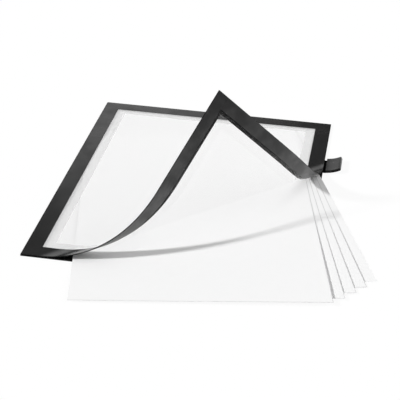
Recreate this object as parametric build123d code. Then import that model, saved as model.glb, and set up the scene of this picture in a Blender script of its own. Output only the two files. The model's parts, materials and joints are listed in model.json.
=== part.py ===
from build123d import *
import math
import os

# A magnetic photo frame for an A4 sheet, lying on its back. The bottom right corner of its front cover is peeled
# up, and five blank sheets are fanned out under it. X runs across the frame, Y up it and Z out of its front.
# The origin is the middle of the back.

# Sheets: A4 paper, the first on top, each turned about its top left corner a little further than the one above
sheet_w = 210.0
sheet_h = 297.0
sheet_t = 0.1
sheet_clearance = 0.02
sheet_count = 5
sheet_pulled = 80.5
sheet_side_gap = 0.8
fan_first = 10.7
fan_step = 2.0
fan_rise = 2.0

# Border round the window, which covers the edge of a sheet that is in place. The magnet strips of the base and of
# the cover keep back from its inner edge.
border_w = 15.0
magnet_inset = 3.0
sheet_lap = 2.0

# Base: a film panel with a flexible magnet strip along each side
panel_t = 0.2
base_strip_t = 0.3

# Spine: the hinge tape along the left edge, which the cover turns on
spine_t = 0.5
spine_clearance = 0.05

# Cover: magnet strips under a clear film, and black facing strips on it. It lies just above the sheets.
cover_clearance = 0.1
cover_magnet_t = 0.5
film_t = 0.15
facing_t = 0.2

# Peeled corner: the cover's bottom edge leaves the base at peel_start from the left edge, and the cover curls up
# over bend_length. The curl is a chain of flat pieces, folded by the same angle at each bend line.
peel_start = 14.6
bend_length = 88.8
bend_angle = 97.5
bend_heading = 46.5
bend_count = 6
bend_gap = 0.2

# Grip tab on the base's right edge, curled up. It thins to the base at its root, in a slot beside the cover.
tab_w = 26.5
tab_reach = 17.0
tab_rise = 4.4
tab_t = 2.6
tab_drop = 96.5
tab_clearance = 2.2

# Edges of the frame, of its base and of its cover
frame_w = sheet_w + 2 * (border_w - sheet_lap)
frame_h = sheet_h + 2 * (border_w - sheet_lap)
left = -frame_w / 2
right = frame_w / 2
bottom = -frame_h / 2
top = frame_h / 2
base_left = left + spine_t
cover_left = base_left + spine_clearance
magnet_w = border_w - magnet_inset

# Levels, from the back of the frame to its front
sheet_pitch = sheet_t + sheet_clearance
base_top = panel_t + base_strip_t
magnet_z = base_top + sheet_count * sheet_pitch + cover_clearance
film_z = magnet_z + cover_magnet_t
facing_z = film_z + film_t
cover_top = facing_z + facing_t

# Bend lines: parallel, across the bottom right corner of the cover, at mid-thickness of the film
heading = math.radians(bend_heading)
bend_line = Vector(math.cos(heading), math.sin(heading), 0)
to_corner = Vector(math.sin(heading), -math.cos(heading), 0)
corner = Vector(right, bottom, film_z + film_t / 2)
peel_reach = (frame_w - peel_start) * math.sin(heading)
bend_pitch = bend_length / bend_count
fold_angle = bend_angle / bend_count
cover_span = 2 * math.hypot(frame_w, frame_h)


def slab(x_from, x_to, y_from, y_to, z_from, thickness):
    """A flat rectangular piece, from its edges, its underside and its thickness."""
    middle = Pos((x_from + x_to) / 2, (y_from + y_to) / 2, z_from + thickness / 2)
    return middle * Box(x_to - x_from, y_to - y_from, thickness)


def four_strips(x_from, width, z_from, thickness):
    """Four strips round the frame: the top and bottom ones run right across and the sides fit between them."""
    strips = {}
    strips["top"] = slab(x_from, right, top - width, top, z_from, thickness)
    strips["bottom"] = slab(x_from, right, bottom, bottom + width, z_from, thickness)
    strips["left"] = slab(x_from, left + width, bottom + width, top - width, z_from, thickness)
    strips["right"] = slab(right - width, right, bottom + width, top - width, z_from, thickness)
    return strips


def bend_offset(number):
    """Distance from the cover's corner back to a bend line; the first line is the one nearest the spine."""
    return peel_reach - (number - 0.5) * bend_pitch


def bend_axis(number):
    """A bend line of the flat cover. A positive turn about it lifts the corner."""
    return Axis(corner - to_corner * bend_offset(number), bend_line * -1)


def cover_zone(number):
    """The stretch of flat cover past a bend line, up to the next one, as a block that cuts the cover's layers."""
    start = -cover_span
    end = cover_span
    if number > 0:
        start = bend_gap / 2 - bend_offset(number)
    if number < bend_count:
        end = -bend_gap / 2 - bend_offset(number + 1)
    across = Plane(origin=corner, x_dir=to_corner, z_dir=(0, 0, 1))
    return across * Pos((start + end) / 2, 0, 0) * Box(end - start, cover_span, 2 * cover_top)


def fold(piece, number):
    """Lifts a flat piece of the cover into the curl, folding the bend line next to it first."""
    for line in range(number, 0, -1):
        piece = piece.rotate(bend_axis(line), fold_angle)
    return piece


def zone_name(number):
    """The hinged part of the cover, the pieces of its bend, or its corner."""
    if number == 0:
        return "hinged"
    if number == bend_count:
        return "corner"
    return f"bend_{number}"


def base_parts():
    """Panel, magnet strips and spine of the base."""
    parts = {"back_panel": slab(base_left, right, bottom, top, 0, panel_t)}
    for side, strip in four_strips(base_left, magnet_w, panel_t, base_strip_t).items():
        parts[f"base_strip_{side}"] = strip
    parts["hinge_spine"] = slab(left, base_left, bottom, top, 0, film_z)
    return parts


def grip_tab():
    """A strip that leaves the base's right edge level and curls up."""
    radius = (tab_reach**2 + tab_rise**2) / (2 * tab_rise)
    sweep = math.degrees(2 * math.atan2(tab_rise, tab_reach))
    under = CenterArc((0, radius), radius, -90, sweep)
    over = CenterArc((0, radius), radius - tab_t, -90, sweep)
    profile = make_face([under, Line(under @ 1, over @ 1), over, Line(over @ 0, under @ 0)])
    curled = Pos(right, top - tab_drop, 0) * extrude(Plane.XZ * profile, tab_w / 2, both=True)
    return curled - slab(right, right + tab_clearance, bottom, top, base_top, tab_t + tab_rise)


def cover_parts():
    """Film, facing and magnet strips, cut at the bend lines and folded into the curl."""
    flat = {"window": slab(cover_left, right, bottom, top, film_z, film_t)}
    for side, strip in four_strips(cover_left, border_w, facing_z, facing_t).items():
        flat[f"facing_{side}"] = strip
    for side, strip in four_strips(cover_left, magnet_w, magnet_z, cover_magnet_t).items():
        flat[f"magnet_{side}"] = strip
    parts = {}
    for number in range(bend_count + 1):
        zone = cover_zone(number)
        for name, piece in flat.items():
            cut = piece & zone
            if cut and cut.volume > 0:
                parts[f"{name}_{zone_name(number)}"] = fold(cut, number)
    return parts


def sheet(index):
    """A sheet in the fan, counted down from the top one."""
    x = base_left + sheet_side_gap
    y = sheet_h / 2 - sheet_pulled + index * fan_rise
    z = base_top + sheet_clearance + (sheet_count - 1 - index) * sheet_pitch
    turn = fan_first + index * fan_step
    return Pos(x, y, z) * Rot(0, 0, turn) * slab(0, sheet_w, -sheet_h, 0, 0, sheet_t)


parts = base_parts()
parts["grip_tab"] = grip_tab()
parts.update(cover_parts())
for index in range(sheet_count):
    parts[f"sheet_{index + 1}"] = sheet(index)

os.makedirs("parts", exist_ok=True)
for name, part in parts.items():
    export_step(part, f"parts/{name}.step")
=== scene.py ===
import json
import math

import bmesh
import bpy
from mathutils import Matrix, Vector

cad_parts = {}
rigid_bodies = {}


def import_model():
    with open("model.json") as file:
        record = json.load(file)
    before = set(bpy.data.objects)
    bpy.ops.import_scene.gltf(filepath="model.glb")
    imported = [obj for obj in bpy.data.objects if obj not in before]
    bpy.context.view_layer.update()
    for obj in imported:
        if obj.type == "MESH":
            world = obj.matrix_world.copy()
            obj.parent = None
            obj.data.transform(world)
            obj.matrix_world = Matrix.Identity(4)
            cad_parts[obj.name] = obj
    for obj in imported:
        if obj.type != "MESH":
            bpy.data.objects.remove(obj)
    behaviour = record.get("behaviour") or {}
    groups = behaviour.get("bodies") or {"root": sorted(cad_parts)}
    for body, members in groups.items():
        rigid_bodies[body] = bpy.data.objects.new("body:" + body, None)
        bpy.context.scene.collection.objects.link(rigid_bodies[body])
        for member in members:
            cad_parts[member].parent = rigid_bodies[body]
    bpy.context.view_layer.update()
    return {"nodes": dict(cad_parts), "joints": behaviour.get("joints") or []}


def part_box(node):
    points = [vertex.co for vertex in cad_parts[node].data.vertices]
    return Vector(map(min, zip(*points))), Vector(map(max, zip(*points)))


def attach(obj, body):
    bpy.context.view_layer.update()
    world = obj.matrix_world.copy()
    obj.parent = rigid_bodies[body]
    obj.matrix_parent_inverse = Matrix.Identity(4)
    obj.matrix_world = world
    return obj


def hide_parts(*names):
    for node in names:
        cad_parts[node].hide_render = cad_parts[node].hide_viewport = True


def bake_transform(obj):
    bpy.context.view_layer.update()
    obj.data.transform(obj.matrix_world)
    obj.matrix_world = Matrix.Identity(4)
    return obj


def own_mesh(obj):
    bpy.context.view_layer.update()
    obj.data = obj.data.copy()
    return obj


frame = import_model()


# Base: a thin white film panel, with a flat strip of flexible magnet bonded along each side of its front.
# The strips are ferrite rubber, dull black on the base and where they are cut, and waxed to a satin on the
# faces of the cover's strips. Through the film of the back they show as a grey band.
mm = 0.001
nodes = frame["nodes"]
panel_low, panel_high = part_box("back_panel")
strip_low, strip_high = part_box("base_strip_bottom")
strip_width = strip_high.y - strip_low.y
cut_line = 0.05 * mm
cut_band = 0.25 * mm
cloud_middle = (0.35, 0.65)


class Flow:
    """A socket of a node tree. Sums on it add Math nodes, and node() adds any other node."""

    def __init__(self, tree, socket=None):
        self.tree = tree
        self.socket = socket

    def node(self, kind, settings=None, inputs=None, output=0):
        made = self.tree.nodes.new(kind)
        for name, setting in (settings or {}).items():
            setattr(made, name, setting)
        for name, value in (inputs or {}).items():
            if isinstance(value, Flow):
                self.tree.links.new(value.socket, made.inputs[name])
            else:
                made.inputs[name].default_value = value
        return Flow(self.tree, made.outputs[output])

    def to(self, node, name):
        self.tree.links.new(self.socket, node.inputs[name])

    def math(self, operation, other=0.0):
        return self.node("ShaderNodeMath", {"operation": operation}, {0: self, 1: other})

    def vector(self, operation, other=(0, 0, 0), output=0):
        return self.node("ShaderNodeVectorMath", {"operation": operation}, {0: self, 1: other}, output)

    def times(self, number):
        """This vector, made longer."""
        return self.node("ShaderNodeVectorMath", {"operation": "SCALE"}, {0: self, "Scale": number})

    def along(self, axis):
        """One coordinate of this vector."""
        return self.node("ShaderNodeSeparateXYZ", {}, {0: self}, axis)

    def point(self, x, y, z):
        """A vector of three coordinates, in this tree."""
        return self.node("ShaderNodeCombineXYZ", {}, {0: x, 1: y, 2: z})

    def mix(self, dark, light):
        """A colour between two, by this value."""
        return self.node("ShaderNodeMix", {"data_type": "RGBA"}, {0: self, 6: dark, 7: light}, 2)

    def between(self, low, high):
        """A value that is low where this one is 0, and high where it is 1."""
        return low + (high - low) * self

    def eased(self, low, high):
        """This value as a smooth step from 0 at low to 1 at high."""
        limits = {"Value": self, "From Min": low, "From Max": high}
        return self.node("ShaderNodeMapRange", {"interpolation_type": "SMOOTHSTEP"}, limits)

    def __add__(self, other):
        return self.math("ADD", other)

    __radd__ = __add__

    def __sub__(self, other):
        return self.math("SUBTRACT", other)

    def __rsub__(self, other):
        return self.node("ShaderNodeMath", {"operation": "SUBTRACT"}, {0: other, 1: self})

    def __mul__(self, other):
        return self.math("MULTIPLY", other)

    __rmul__ = __mul__

    def __truediv__(self, other):
        return self.math("DIVIDE", other)


def grey(level):
    return (level, level, level, 1.0)


def blank_finish(name, plain):
    """A new material with its shader's plain values set, its shader, and the place on the piece."""
    material = bpy.data.materials.new(name)
    material.use_nodes = True
    shader = material.node_tree.nodes["Principled BSDF"]
    for socket, value in plain.items():
        shader.inputs[socket].default_value = value
    place = Flow(material.node_tree).node("ShaderNodeTexCoord", output="Object")
    return material, shader, place


def speckle(place, size, detail=2.0):
    """A random grain of about this size."""
    return place.node("ShaderNodeTexNoise", {}, {"Vector": place, "Scale": 1 / size, "Detail": detail})


def mingled(cloud, grain, grain_share):
    """A coarse and a fine grain together."""
    return cloud * (1 - grain_share) + grain * grain_share


def press(grain, shader, depth, strength):
    """The grain as relief on the surface."""
    sizes = {"Height": grain, "Distance": depth, "Strength": strength}
    grain.node("ShaderNodeBump", {}, sizes).to(shader, "Normal")


def in_from_outline(spot):
    """Distance of a spot in from the outline of the frame."""
    in_side = panel_high.x - spot.along("X").math("ABSOLUTE")
    in_end = panel_high.y - spot.along("Y").math("ABSOLUTE")
    return in_side.math("MINIMUM", in_end)


def on_flat_cover(place):
    """The place on the cover as it is when the cover lies flat."""
    return place.node("ShaderNodeUVMap", {"uv_map": "flat"})


def strip_face(place, width):
    """1 on the faces of a strip round the cover, and 0 at its cut edges and on what isn't on the cover."""
    in_from_edge = in_from_outline(on_flat_cover(place))
    past_inner = in_from_edge.eased(width - cut_band, width - cut_line)
    return in_from_edge.eased(cut_line, cut_band) * (1 - past_inner)


rubber_black = grey(0.003)
rubber_pale = grey(0.009)
rubber_roughness = (0.50, 0.70)
rubber_wax = (0.72, 1.12)
rubber_plain = {"Specular IOR Level": 0.08, "Coat IOR": 1.8, "Coat Roughness": 0.34}
magnet_rubber, shader, place = blank_finish("magnet_rubber", rubber_plain)
rubber_grain = speckle(place, 1.3 * mm, detail=4.0)
rubber_cloud = speckle(place, 18 * mm)
mingled(rubber_cloud, rubber_grain, 0.4).mix(rubber_black, rubber_pale).to(shader, "Base Color")
rubber_grain.between(*rubber_roughness).to(shader, "Roughness")
rubber_sheen = rubber_cloud.eased(*cloud_middle).between(*rubber_wax)
(strip_face(place, strip_width) * rubber_sheen).to(shader, "Coat Weight")
press(rubber_grain, shader, depth=0.05 * mm, strength=0.25)

film_white = grey(0.93)
film_over_rubber = grey(0.09)
strip_outline = (strip_width - 0.4 * mm, strip_width + 0.6 * mm)
show_through = (0.86, 0.96)
panel_roughness = (0.46, 0.60)
panel_film, shader, place = blank_finish("panel_film", {"Specular IOR Level": 0.3})
over_strip = 1 - in_from_outline(place).eased(*strip_outline)
film_mottle = speckle(place, 6 * mm)
strip_tint = over_strip * film_mottle.between(*show_through)
strip_tint.mix(film_white, film_over_rubber).to(shader, "Base Color")
film_mottle.between(*panel_roughness).to(shader, "Roughness")
press(speckle(place, 0.8 * mm), shader, depth=0.03 * mm, strength=0.2)

nodes["back_panel"].material_slots[0].material = panel_film
for side in ("left", "right", "top", "bottom"):
    nodes[f"base_strip_{side}"].material_slots[0].material = magnet_rubber


# Spine: black vinyl hinge tape along the left edge, which joins the cover to the base and folds as it opens.
# It is calendered film with a fine pebble grain, a little paler where handling has rubbed it.
border_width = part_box("facing_left_hinged")[1].x + panel_high.x
pebble_size = 0.9 * mm
pebble_roughness = 0.06
vinyl_black = grey(0.008)
vinyl_rubbed = grey(0.016)
vinyl_roughness = (0.45, 0.57)
vinyl_gloss = (0.72, 1.02)
vinyl_plain = {"Specular IOR Level": 0.08, "Coat IOR": 1.4, "Coat Roughness": 0.14}
black_vinyl, shader, place = blank_finish("black_vinyl", vinyl_plain)
pebble = place.node("ShaderNodeTexVoronoi", {"feature": "F1"}, {"Vector": place, "Scale": 1 / pebble_size})
vinyl_cloud = speckle(place, 25 * mm, detail=3.0)
mingled(vinyl_cloud, pebble, 0.3).mix(vinyl_black, vinyl_rubbed).to(shader, "Base Color")
(vinyl_cloud.between(*vinyl_roughness) + pebble_roughness * pebble).to(shader, "Roughness")
vinyl_sheen = vinyl_cloud.eased(*cloud_middle).between(*vinyl_gloss)
(strip_face(place, border_width) * vinyl_sheen).to(shader, "Coat Weight")
press(pebble, shader, depth=0.04 * mm, strength=0.3)

nodes["hinge_spine"].material_slots[0].material = black_vinyl


# Grip tab: a stiff glossy plastic strip on the base's right edge, curled up so that a finger gets under it.
# At its root it thins to a strip bonded to the base, in a slot beside the cover. Its free corners are
# slightly rounded and its edges are eased. The slot and the cut edges are dull.
tab_low, tab_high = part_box("grip_tab")
tab_thickness = 2.6 * mm
tab_rise = 4.4 * mm
tab_corner = 1.5 * mm
tab_edge = 0.25 * mm
tab_slot = 2.2 * mm
tab_rows = 24
tab_row_bias = 1.6
arris_angle = 1.0
smooth_angle = math.radians(12)
tab_reach = tab_high.x - tab_low.x
tab_middle = (tab_low.y + tab_high.y) / 2
tab_half = (tab_high.y - tab_low.y) / 2
tab_radius = (tab_reach**2 + tab_rise**2) / (2 * tab_rise)
tab_sweep = 2 * math.atan2(tab_rise, tab_reach)

gloss_black = grey(0.008)
gloss_pale = grey(0.016)
gloss_roughness = (0.40, 0.56)
gloss_coat = (0.55, 0.85)
dull_cut = (0.1 * mm, 0.6 * mm)
dull_slot = (tab_slot, tab_slot + 0.5 * mm)
gloss_plain = {"Specular IOR Level": 0.0, "Coat Roughness": 0.2}
black_gloss, shader, place = blank_finish("black_gloss", gloss_plain)
gloss_cloud = speckle(place, 9 * mm)
gloss_cloud.mix(gloss_black, gloss_pale).to(shader, "Base Color")
gloss_cloud.between(*gloss_roughness).to(shader, "Roughness")
from_middle = place.along("Y") - tab_middle
in_from_cut = (tab_half - from_middle.math("ABSOLUTE")).eased(*dull_cut)
past_slot = (place.along("X") - tab_low.x).eased(*dull_slot)
(in_from_cut * past_slot * gloss_cloud.between(*gloss_coat)).to(shader, "Coat Weight")
press(speckle(place, 1.5 * mm), shader, depth=0.03 * mm, strength=0.15)


def new_piece(name, mesh):
    """An object at the origin for a finished mesh, smooth but for its sharp edges."""
    mesh.shade_smooth()
    mesh.set_sharp_from_angle(angle=smooth_angle)
    piece = bpy.data.objects.new(name, mesh)
    bpy.context.scene.collection.objects.link(piece)
    return piece


def add_bar(mesh, sections):
    """A closed bar through four-cornered sections, each given as its low edge, high edge and half width."""
    rings = []
    for low_x, low_z, high_x, high_z, half in sections:
        left, right = tab_middle - half, tab_middle + half
        low_edge = [(low_x, left, low_z), (low_x, right, low_z)]
        high_edge = [(high_x, right, high_z), (high_x, left, high_z)]
        rings.append([mesh.verts.new(corner) for corner in low_edge + high_edge])
    for ring, next_ring in zip(rings, rings[1:]):
        for corner in range(4):
            after = (corner + 1) % 4
            mesh.faces.new((ring[corner], next_ring[corner], next_ring[after], ring[after]))
    mesh.faces.new(rings[0])
    mesh.faces.new(rings[-1][::-1])


tab = bmesh.new()
root_turn = math.asin(tab_slot / tab_radius)
upper_radius = tab_radius - tab_thickness
blade = []
for row in range(tab_rows + 1):
    turn = root_turn + (tab_sweep - root_turn) * (1 - (1 - row / tab_rows) ** tab_row_bias)
    to_end = tab_radius * (tab_sweep - turn)
    half = tab_half
    if to_end < tab_corner:
        half = tab_half - tab_corner + math.sqrt(tab_corner**2 - (tab_corner - to_end) ** 2)
    low_x = tab_low.x + tab_radius * math.sin(turn)
    low_z = tab_low.z + tab_radius - tab_radius * math.cos(turn)
    high_x = tab_low.x + max(tab_slot, upper_radius * math.sin(turn))
    high_z = tab_low.z + tab_radius - upper_radius * math.cos(turn)
    blade.append((low_x, low_z, high_x, high_z, half))
add_bar(tab, blade)
bmesh.ops.recalc_face_normals(tab, faces=tab.faces)
arrises = [e for e in tab.edges if len(e.link_faces) == 2 and e.calc_face_angle() > arris_angle]
bmesh.ops.bevel(tab, geom=arrises, offset=tab_edge, segments=2, profile=0.6, affect="EDGES")
root_ends = (tab_low.x, tab_low.x + tab_slot + 2 * tab_edge)
add_bar(tab, [(end, tab_low.z, end, strip_high.z, tab_half) for end in root_ends])
bmesh.ops.recalc_face_normals(tab, faces=tab.faces)
tab_mesh = bpy.data.meshes.new("grip_tab_curled")
tab.to_mesh(tab_mesh)
tab.free()
tab_mesh.materials.append(black_gloss)
grip = new_piece("grip_tab_curled", tab_mesh)
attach(grip, "base")
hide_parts("grip_tab")


# Sheets: five blank A4 sheets of office paper, laid in the frame and fanned out past its bottom right corner.
# They lie flat near their top left corners and spring up a little away from them, the top one most. Along the
# right and bottom edges of the upper four, away from the cover, runs a thin grey line of painted shade, for
# the shadow each sheet casts on the next.
sheet_size = (210 * mm, 297 * mm)
sheet_thickness = 0.1 * mm
sheet_cells = (42, 60)
corner_lift = (3.5 * mm, 1.85 * mm, 1.25 * mm, 0.65 * mm, 0.0)
flat_reach = 222 * mm
full_reach = math.hypot(*sheet_size)
# Width of the painted shade line along the sheets' right and bottom edges, and how far from the top it is
# left off.
edge_shade_width = 0.35 * mm
edge_shade_from = 80 * mm

# Painted shade: the grey of the shadow line painted at the sheets' edges.
painted_shade_tone = grey(0.66)
paper_dark = grey(0.905)
paper_white = grey(0.935)
paper_roughness = (0.74, 0.90)
paper, shader, place = blank_finish("paper", {"Specular IOR Level": 0.25})
fibre = speckle(place, 0.6 * mm, detail=3.0)
paper_cloud = speckle(place, 7 * mm)
sheet_tone = mingled(paper_cloud, fibre, 0.5).mix(paper_dark, paper_white)
# Within that width of the right and bottom edges the paper is painted grey, as painted shade for the shadows
# between sheets.
past_edge_shade = place.node("ShaderNodeAttribute", {"attribute_name": "past_edge_shade"}, output="Vector")
past_nearest = past_edge_shade.along("X").math("MINIMUM", past_edge_shade.along("Y"))
past_nearest.eased(0.0, edge_shade_width).mix(painted_shade_tone, sheet_tone).to(shader, "Base Color")
fibre.between(*paper_roughness).to(shader, "Roughness")
press(fibre, shader, depth=0.02 * mm, strength=0.15)


def new_rule(name, sockets):
    """A Geometry Nodes tree with these named inputs, its flow, and the flow of each input."""
    tree = bpy.data.node_groups.new(name, "GeometryNodeTree")
    for label, kind in sockets.items():
        tree.interface.new_socket(label, in_out="INPUT", socket_type=f"NodeSocket{kind}")
    tree.interface.new_socket("Geometry", in_out="OUTPUT", socket_type="NodeSocketGeometry")
    entry = tree.nodes.new("NodeGroupInput")
    return tree, Flow(tree), {label: Flow(tree, entry.outputs[label]) for label in sockets}


def end_rule(tree, geometry, finish):
    """Closes a tree: real geometry, in its finish."""
    real = geometry.node("GeometryNodeRealizeInstances", {}, {0: geometry})
    coloured = real.node("GeometryNodeSetMaterial", {}, {"Geometry": real, "Material": finish})
    coloured.to(tree.nodes.new("NodeGroupOutput"), "Geometry")


def by_rule(name, tree, sizes, blank=None):
    """A piece made by a tree from its named sizes, as a plain mesh."""
    draft = bpy.data.objects.new("draft", blank or bpy.data.meshes.new("draft"))
    bpy.context.scene.collection.objects.link(draft)
    modifier = draft.modifiers.new("rule", "NODES")
    modifier.node_group = tree
    for item in tree.interface.items_tree:
        if item.in_out == "INPUT" and item.name in sizes:
            modifier[item.identifier] = sizes[item.name]
    mesh = bpy.data.meshes.new_from_object(draft.evaluated_get(bpy.context.evaluated_depsgraph_get()))
    mesh.name = name
    bpy.data.objects.remove(draft)
    return new_piece(name, mesh)


sheet_inputs = {
    "Width": "Float",
    "Length": "Float",
    "Thickness": "Float",
    "Corner": "Vector",
    "Turn": "Float",
    "Corner Lift": "Float",
    "Flat Reach": "Float",
    "Full Reach": "Float",
    "Edge Shade": "Float",
    "Edge Shade From": "Float",
    "Finish": "Material",
}
sheet_rule, flow, given = new_rule("fanned_sheet", sheet_inputs)
width = given["Width"]
length = given["Length"]
thickness = given["Thickness"]
blank_sizes = {
    "Size": flow.point(width, length, thickness),
    "Vertices X": sheet_cells[0],
    "Vertices Y": sheet_cells[1],
    "Vertices Z": 2,
}
blank_sheet = flow.node("GeometryNodeMeshCube", {}, blank_sizes)
here = flow.node("GeometryNodeInputPosition")
# Distance of each point from the right and bottom edges, stored for the painted shade line; the top part,
# under the cover, gets none.
in_cover = here.along("Y").math("GREATER_THAN", length * 0.5 - given["Edge Shade From"])
past_side = width * 0.5 - here.along("X") - given["Edge Shade"] + in_cover
past_end = length * 0.5 + here.along("Y") - given["Edge Shade"]
edge_shade_store = {"Geometry": blank_sheet, "Name": "past_edge_shade", "Value": flow.point(past_side, past_end, 0.0)}
stored_as = {"data_type": "FLOAT_VECTOR", "domain": "POINT"}
edged = flow.node("GeometryNodeStoreNamedAttribute", stored_as, edge_shade_store)
on_sheet = here.vector("ADD", flow.point(width * 0.5, length * -0.5, thickness * 0.5))
fan_turn = {"Vector": on_sheet, "Angle": given["Turn"]}
turned = flow.node("ShaderNodeVectorRotate", {"rotation_type": "Z_AXIS"}, fan_turn)
laid = turned.vector("ADD", given["Corner"])
reach = on_sheet.vector("LENGTH", output="Value")
lift = given["Corner Lift"] * reach.eased(given["Flat Reach"], given["Full Reach"])
lifted = laid.vector("ADD", flow.point(0.0, 0.0, lift))
placed = flow.node("GeometryNodeSetPosition", {}, {"Geometry": edged, "Position": lifted})
end_rule(sheet_rule, placed, given["Finish"])

joints = {joint["name"]: joint for joint in frame["joints"]}
for number, sheet_lift in enumerate(corner_lift, 1):
    fan = joints[f"sheet_{number}_fan"]
    sheet = by_rule(
        f"paper_sheet_{number}",
        sheet_rule,
        {
            "Width": sheet_size[0],
            "Length": sheet_size[1],
            "Thickness": sheet_thickness,
            "Corner": fan["pos_m"],
            "Turn": -math.radians(fan["range_deg"][0]),
            "Corner Lift": sheet_lift,
            "Flat Reach": flat_reach,
            "Full Reach": full_reach,
            "Edge Shade": edge_shade_width if sheet_lift else -edge_shade_width,
            "Edge Shade From": edge_shade_from,
            "Finish": paper,
        },
    )
    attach(sheet, f"sheet_{number}")
    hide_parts(f"sheet_{number}")
    if sheet_lift:
        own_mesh(sheet)


# Cover window: one clear plastic film, the full size of the frame, hinged on the spine and peeled up at its
# bottom right corner. Next to the border it is frosted, in a band where it clings to the base, less so
# where it has been peeled.
weld_band = 9 * mm
weld_soft = 0.7 * mm
peeled_clear = 0.97
peel_fade = (-5 * mm, 25 * mm)
film_ease = 0.01 * mm
slice_count = 12
score_tolerance = 1e-8
long_side = 0.99
film_low, film_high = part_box("window_hinged")
hinge_line = joints["corner_peel"]
next_line = joints["corner_bend_2"]
bend_names = ["corner_peel"] + sorted(name for name in joints if name.startswith("corner_bend_"))
bend_bodies = [hinge_line["parent"]] + [joints[name]["child"] for name in bend_names]
fold = -math.radians(hinge_line["range_deg"][0])
bend_pitch = (Vector(next_line["pos_m"]) - Vector(hinge_line["pos_m"])).length
bend_radius = bend_pitch / 2 / math.tan(fold / 2)
toward_corner = Vector((-hinge_line["axis"][1], hinge_line["axis"][0], 0))
curl_start = Vector(hinge_line["pos_m"]) - toward_corner * bend_pitch / 2
curl_length = bend_pitch * len(bend_names)
curl_turn = fold * len(bend_names)

film_haze = 0.006
film_roughness = (0.07, 0.47)
frost_cover = (0.42, 0.54)
frost_dark = grey(0.72)
frost_white = grey(0.79)
clear_film, shader, place = blank_finish("clear_film", {"Specular IOR Level": 0.5})
flat_place = on_flat_cover(place)
in_window = in_from_outline(flat_place) - border_width
past_band = in_window.eased(weld_band - weld_soft, weld_band + weld_soft)
welded = in_window.eased(-weld_soft, 0.0) * (1 - past_band)
past_curl = flat_place.vector("SUBTRACT", (curl_start.x, curl_start.y, 0.0))
peeled = past_curl.vector("DOT_PRODUCT", toward_corner, "Value").eased(*peel_fade)
frosted = welded * (1 - peeled_clear * peeled)
frost_grain = speckle(place, 1.6 * mm, detail=3.0)
frost_grain.mix(frost_dark, frost_white).to(shader, "Base Color")
shadow_ray = place.node("ShaderNodeLightPath", output="Is Shadow Ray")
diffuse_ray = place.node("ShaderNodeLightPath", output="Is Diffuse Ray")
passing = 1 - shadow_ray.math("MAXIMUM", diffuse_ray)
(film_haze + frosted * frost_grain.between(*frost_cover) * passing).to(shader, "Alpha")
frosted.between(*film_roughness).to(shader, "Roughness")

curl_inputs = {
    "Geometry": "Geometry",
    "Curl Start": "Vector",
    "Toward Corner": "Vector",
    "Curl Length": "Float",
    "Curl Turn": "Float",
    "Curl Radius": "Float",
    "Finish": "Material",
}
curl_rule, flow, given = new_rule("curled_cover", curl_inputs)
here = flow.node("GeometryNodeInputPosition")
from_start = here.vector("SUBTRACT", given["Curl Start"])
past_start = from_start.vector("DOT_PRODUCT", given["Toward Corner"], "Value")
over_film = from_start.along("Z")
curl_limits = {"Value": past_start, "Min": 0.0, "Max": given["Curl Length"]}
in_curl = flow.node("ShaderNodeClamp", {}, curl_limits)
turn = in_curl / given["Curl Length"] * given["Curl Turn"]
sine = turn.math("SINE")
cosine = turn.math("COSINE")
straight = past_start - in_curl
forward = given["Curl Radius"] * sine + straight * cosine - over_film * sine
height = given["Curl Radius"] * (1 - cosine) + straight * sine + over_film * cosine
onward = given["Toward Corner"].times(forward - past_start)
raised = flow.point(0.0, 0.0, height - over_film)
curled = here.vector("ADD", onward).vector("ADD", raised)
shaped = flow.node("GeometryNodeSetPosition", {}, {"Geometry": given["Geometry"], "Position": curled})
end_rule(curl_rule, shaped, given["Finish"])


def cut_strip(low, high, eased_edge, eased_ends, zone):
    """A flat slab of the cover, cut off at both ends of a zone of the curl and scored across it."""
    slab = bmesh.new()
    bmesh.ops.create_cube(slab, size=1.0)
    for corner in slab.verts:
        corner.co = Vector(a + (c + 0.5) * (b - a) for a, b, c in zip(low, high, corner.co))
    if eased_edge:
        longest = max(edge.calc_length() for edge in slab.edges)
        rounded = [edge for edge in slab.edges if eased_ends or edge.calc_length() > longest * long_side]
        bmesh.ops.bevel(slab, geom=rounded, offset=eased_edge, segments=2, profile=0.5, affect="EDGES")

    def score(distance, **clear):
        whole = slab.verts[:] + slab.edges[:] + slab.faces[:]
        plane = {"plane_co": curl_start + toward_corner * distance, "plane_no": toward_corner}
        bmesh.ops.bisect_plane(slab, geom=whole, dist=score_tolerance, **plane, **clear)
        bmesh.ops.holes_fill(slab, edges=[edge for edge in slab.edges if edge.is_boundary])

    first, last = zone
    if first is not None:
        score(first, clear_inner=True)
    if last is not None:
        score(last, clear_outer=True)
    if first is not None and last is not None:
        for line in range(1, slice_count):
            score(first + (last - first) * line / slice_count)
    flat = slab.loops.layers.uv.new("flat")
    for face in slab.faces:
        for loop in face.loops:
            loop[flat].uv = loop.vert.co.xy
    mesh = bpy.data.meshes.new("strip")
    slab.to_mesh(mesh)
    slab.free()
    return mesh


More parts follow.
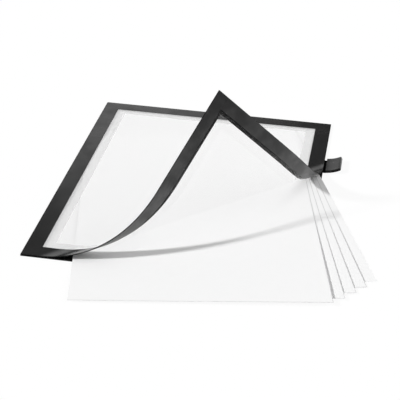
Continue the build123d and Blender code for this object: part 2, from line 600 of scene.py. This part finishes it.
def lay_on_cover(piece, low, high, eased_edge, eased_ends, finish):
    """One layer of the cover: its flat part, a part for each bend, and its raised corner."""
    zones = [("flat", (None, 0.0))]
    for bend in range(len(bend_names)):
        zones.append((f"curl_{bend + 1}", (bend * bend_pitch, (bend + 1) * bend_pitch)))
    zones.append(("corner", (curl_length, None)))
    for number, (zone_name, zone) in enumerate(zones):
        blank = cut_strip(low, high, eased_edge, eased_ends, zone)
        if not blank.polygons:
            continue
        part = by_rule(
            f"{piece}_layer_{zone_name}",
            curl_rule,
            {
                "Curl Start": curl_start,
                "Toward Corner": toward_corner,
                "Curl Length": curl_length,
                "Curl Turn": curl_turn,
                "Curl Radius": bend_radius,
                "Finish": finish,
            },
            blank,
        )
        if number == 0:
            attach(part, bend_bodies[0])
            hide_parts(f"{piece}_hinged")
        elif number > len(bend_names):
            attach(part, bend_bodies[-1])
            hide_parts(f"{piece}_corner")
        else:
            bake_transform(part)
            stands_for = "corner" if number == len(bend_names) else f"bend_{number}"
            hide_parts(f"{piece}_{stands_for}")


film_bottom = (film_low.x, film_low.y, film_low.z + film_ease)
film_top = (panel_high.x, panel_high.y, film_high.z - film_ease)
lay_on_cover("window", film_bottom, film_top, 0, False, clear_film)


# Facing: a black vinyl strip along each side of the cover, on the front of the film, which makes the
# border. The top and bottom strips run right across and the side ones are butted between them.
facing_low, facing_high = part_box("facing_left_hinged")
facing_edge = 0.06 * mm


def border_strips(low_z, high_z, width):
    """Lowest and highest corner of the four strips round the cover."""
    left, right = film_low.x, panel_high.x
    bottom, top = panel_low.y, panel_high.y
    inner_left = width - panel_high.x
    return {
        "left": ((left, bottom + width, low_z), (inner_left, top - width, high_z)),
        "right": ((right - width, bottom + width, low_z), (right, top - width, high_z)),
        "top": ((left, top - width, low_z), (right, top, high_z)),
        "bottom": ((left, bottom, low_z), (right, bottom + width, high_z)),
    }


for side, (low, high) in border_strips(facing_low.z, facing_high.z, border_width).items():
    lay_on_cover(f"facing_{side}", low, high, facing_edge, False, black_vinyl)


# Cover magnets: strips of flexible magnet under the film, along the outside of the border, which hold the
# cover shut on the base. They are narrower than the border, and butted at the corners.
magnet_low, magnet_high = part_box("magnet_left_hinged")
magnet_width = magnet_high.x + panel_high.x
magnet_edge = 0.1 * mm
for side, (low, high) in border_strips(magnet_low.z, magnet_high.z, magnet_width).items():
    lay_on_cover(f"magnet_{side}", low, high, magnet_edge, True, magnet_rubber)


# Studio: a wide white table under soft light from the right, with one lamp from the front left that throws
# the shadow of the peeled border on the sheets. In gloss the table fades away from the frame, and the room is
# bright only low down at the back left. The camera stands in front, a little to the right, and looks down.
table_size = 4.0
table_level = -0.05 * mm
table_white = 0.985
shadow_share = 0.08
pool_inner = 290 * mm
pool_outer = 450 * mm
far_gloss = 0.15
room_light = 0.18
room_gloss = 0.06
side_light = 1.5
side_from = Vector((1.0, 0.1, 0.6)).normalized()
side_edge = math.cos(math.radians(45))
side_core = math.cos(math.radians(35))
glow_from = Vector((-0.231, 0.927, 0.296))
glow_edge = math.cos(math.radians(12.5))
glow_core = math.cos(math.radians(6))
lamp_strength = 3.0
lamp_width = math.radians(5.0)
lamp_from = Vector((-1.28, -0.785, 1.0))
camera_focus = Vector((12.85, -33.08, 1.86)) * mm
camera_round = math.radians(8.25)
camera_above = math.radians(27.97)
camera_lean = math.radians(2.28)
camera_away = 1160 * mm
camera_lens = 114.94
camera_sensor = 36


def ray_kinds(flow):
    """1 on rays straight from the camera or through clear film, and 1 on rays in gloss."""
    camera_ray = flow.node("ShaderNodeLightPath", output="Is Camera Ray")
    clear_ray = flow.node("ShaderNodeLightPath", output="Is Transmission Ray")
    gloss_ray = flow.node("ShaderNodeLightPath", output="Is Glossy Ray")
    return camera_ray.math("MAXIMUM", clear_ray), gloss_ray


table_half = table_size / 2
table_corners = []
for x, y in ((-1, -1), (1, -1), (1, 1), (-1, 1)):
    table_corners.append((x * table_half, y * table_half, table_level))
table_mesh = bpy.data.meshes.new("table")
table_mesh.from_pydata(table_corners, [], [(0, 1, 2, 3)])
table = bpy.data.objects.new("table", table_mesh)
bpy.context.scene.collection.objects.link(table)
white_table = bpy.data.materials.new("white_table")
white_table.use_nodes = True
tree = white_table.node_tree
tree.nodes.remove(tree.nodes["Principled BSDF"])
flow = Flow(tree)
seen, gloss = ray_kinds(flow)
away = flow.node("ShaderNodeTexCoord", output="Object").vector("LENGTH", output="Value")
pool = away.eased(pool_inner, pool_outer).between(1.0, far_gloss)
matt = flow.node("ShaderNodeBsdfDiffuse", {}, {"Color": grey(table_white)})
glow = flow.node("ShaderNodeEmission", {}, {"Color": grey(1.0), "Strength": seen + gloss * pool})
backdrop_share = seen.math("MAXIMUM", gloss) * (1 - shadow_share)
surface = flow.node("ShaderNodeMixShader", {}, {0: backdrop_share, 1: matt, 2: glow})
surface.to(tree.nodes["Material Output"], "Surface")
table_mesh.materials.append(white_table)

world = bpy.data.worlds.new("room")
bpy.context.scene.world = world
world.use_nodes = True
flow = Flow(world.node_tree)
seen, gloss = ray_kinds(flow)
look = flow.node("ShaderNodeTexCoord", output="Generated")
toward_glow = look.vector("DOT_PRODUCT", glow_from, "Value").eased(glow_edge, glow_core)
in_gloss = toward_glow.between(room_gloss, 1.0)
toward_side = look.vector("DOT_PRODUCT", side_from, "Value").eased(side_edge, side_core)
on_matt = 1 - seen.math("MAXIMUM", gloss)
strength = seen + gloss * in_gloss + on_matt * (room_light + side_light * toward_side)
room = flow.node("ShaderNodeBackground", {}, {"Color": grey(1.0), "Strength": strength})
room.to(world.node_tree.nodes["World Output"], "Surface")

lamp_data = bpy.data.lights.new("lamp", "SUN")
lamp_data.energy = lamp_strength
lamp_data.angle = lamp_width
lamp = bpy.data.objects.new("lamp", lamp_data)
lamp.rotation_euler = lamp_from.to_track_quat("Z", "Y").to_euler()
bpy.context.scene.collection.objects.link(lamp)

level_back = Vector((math.sin(camera_round), -math.cos(camera_round), 0))
level_right = Vector((math.cos(camera_round), math.sin(camera_round), 0))
camera_back = level_back * math.cos(camera_above) + Vector((0, 0, math.sin(camera_above)))
level_up = camera_back.cross(level_right)
camera_right = level_right * math.cos(camera_lean) + level_up * math.sin(camera_lean)
camera_up = level_up * math.cos(camera_lean) - level_right * math.sin(camera_lean)
camera_data = bpy.data.cameras.new("camera")
camera_data.lens = camera_lens
camera_data.sensor_width = camera_sensor
camera = bpy.data.objects.new("camera", camera_data)
camera_turn = Matrix((camera_right, camera_up, camera_back)).transposed()
camera.matrix_world = Matrix.Translation(camera_focus + camera_back * camera_away) @ camera_turn.to_4x4()
bpy.context.scene.collection.objects.link(camera)
bpy.context.scene.camera = camera
bpy.context.scene.view_settings.view_transform = "Standard"
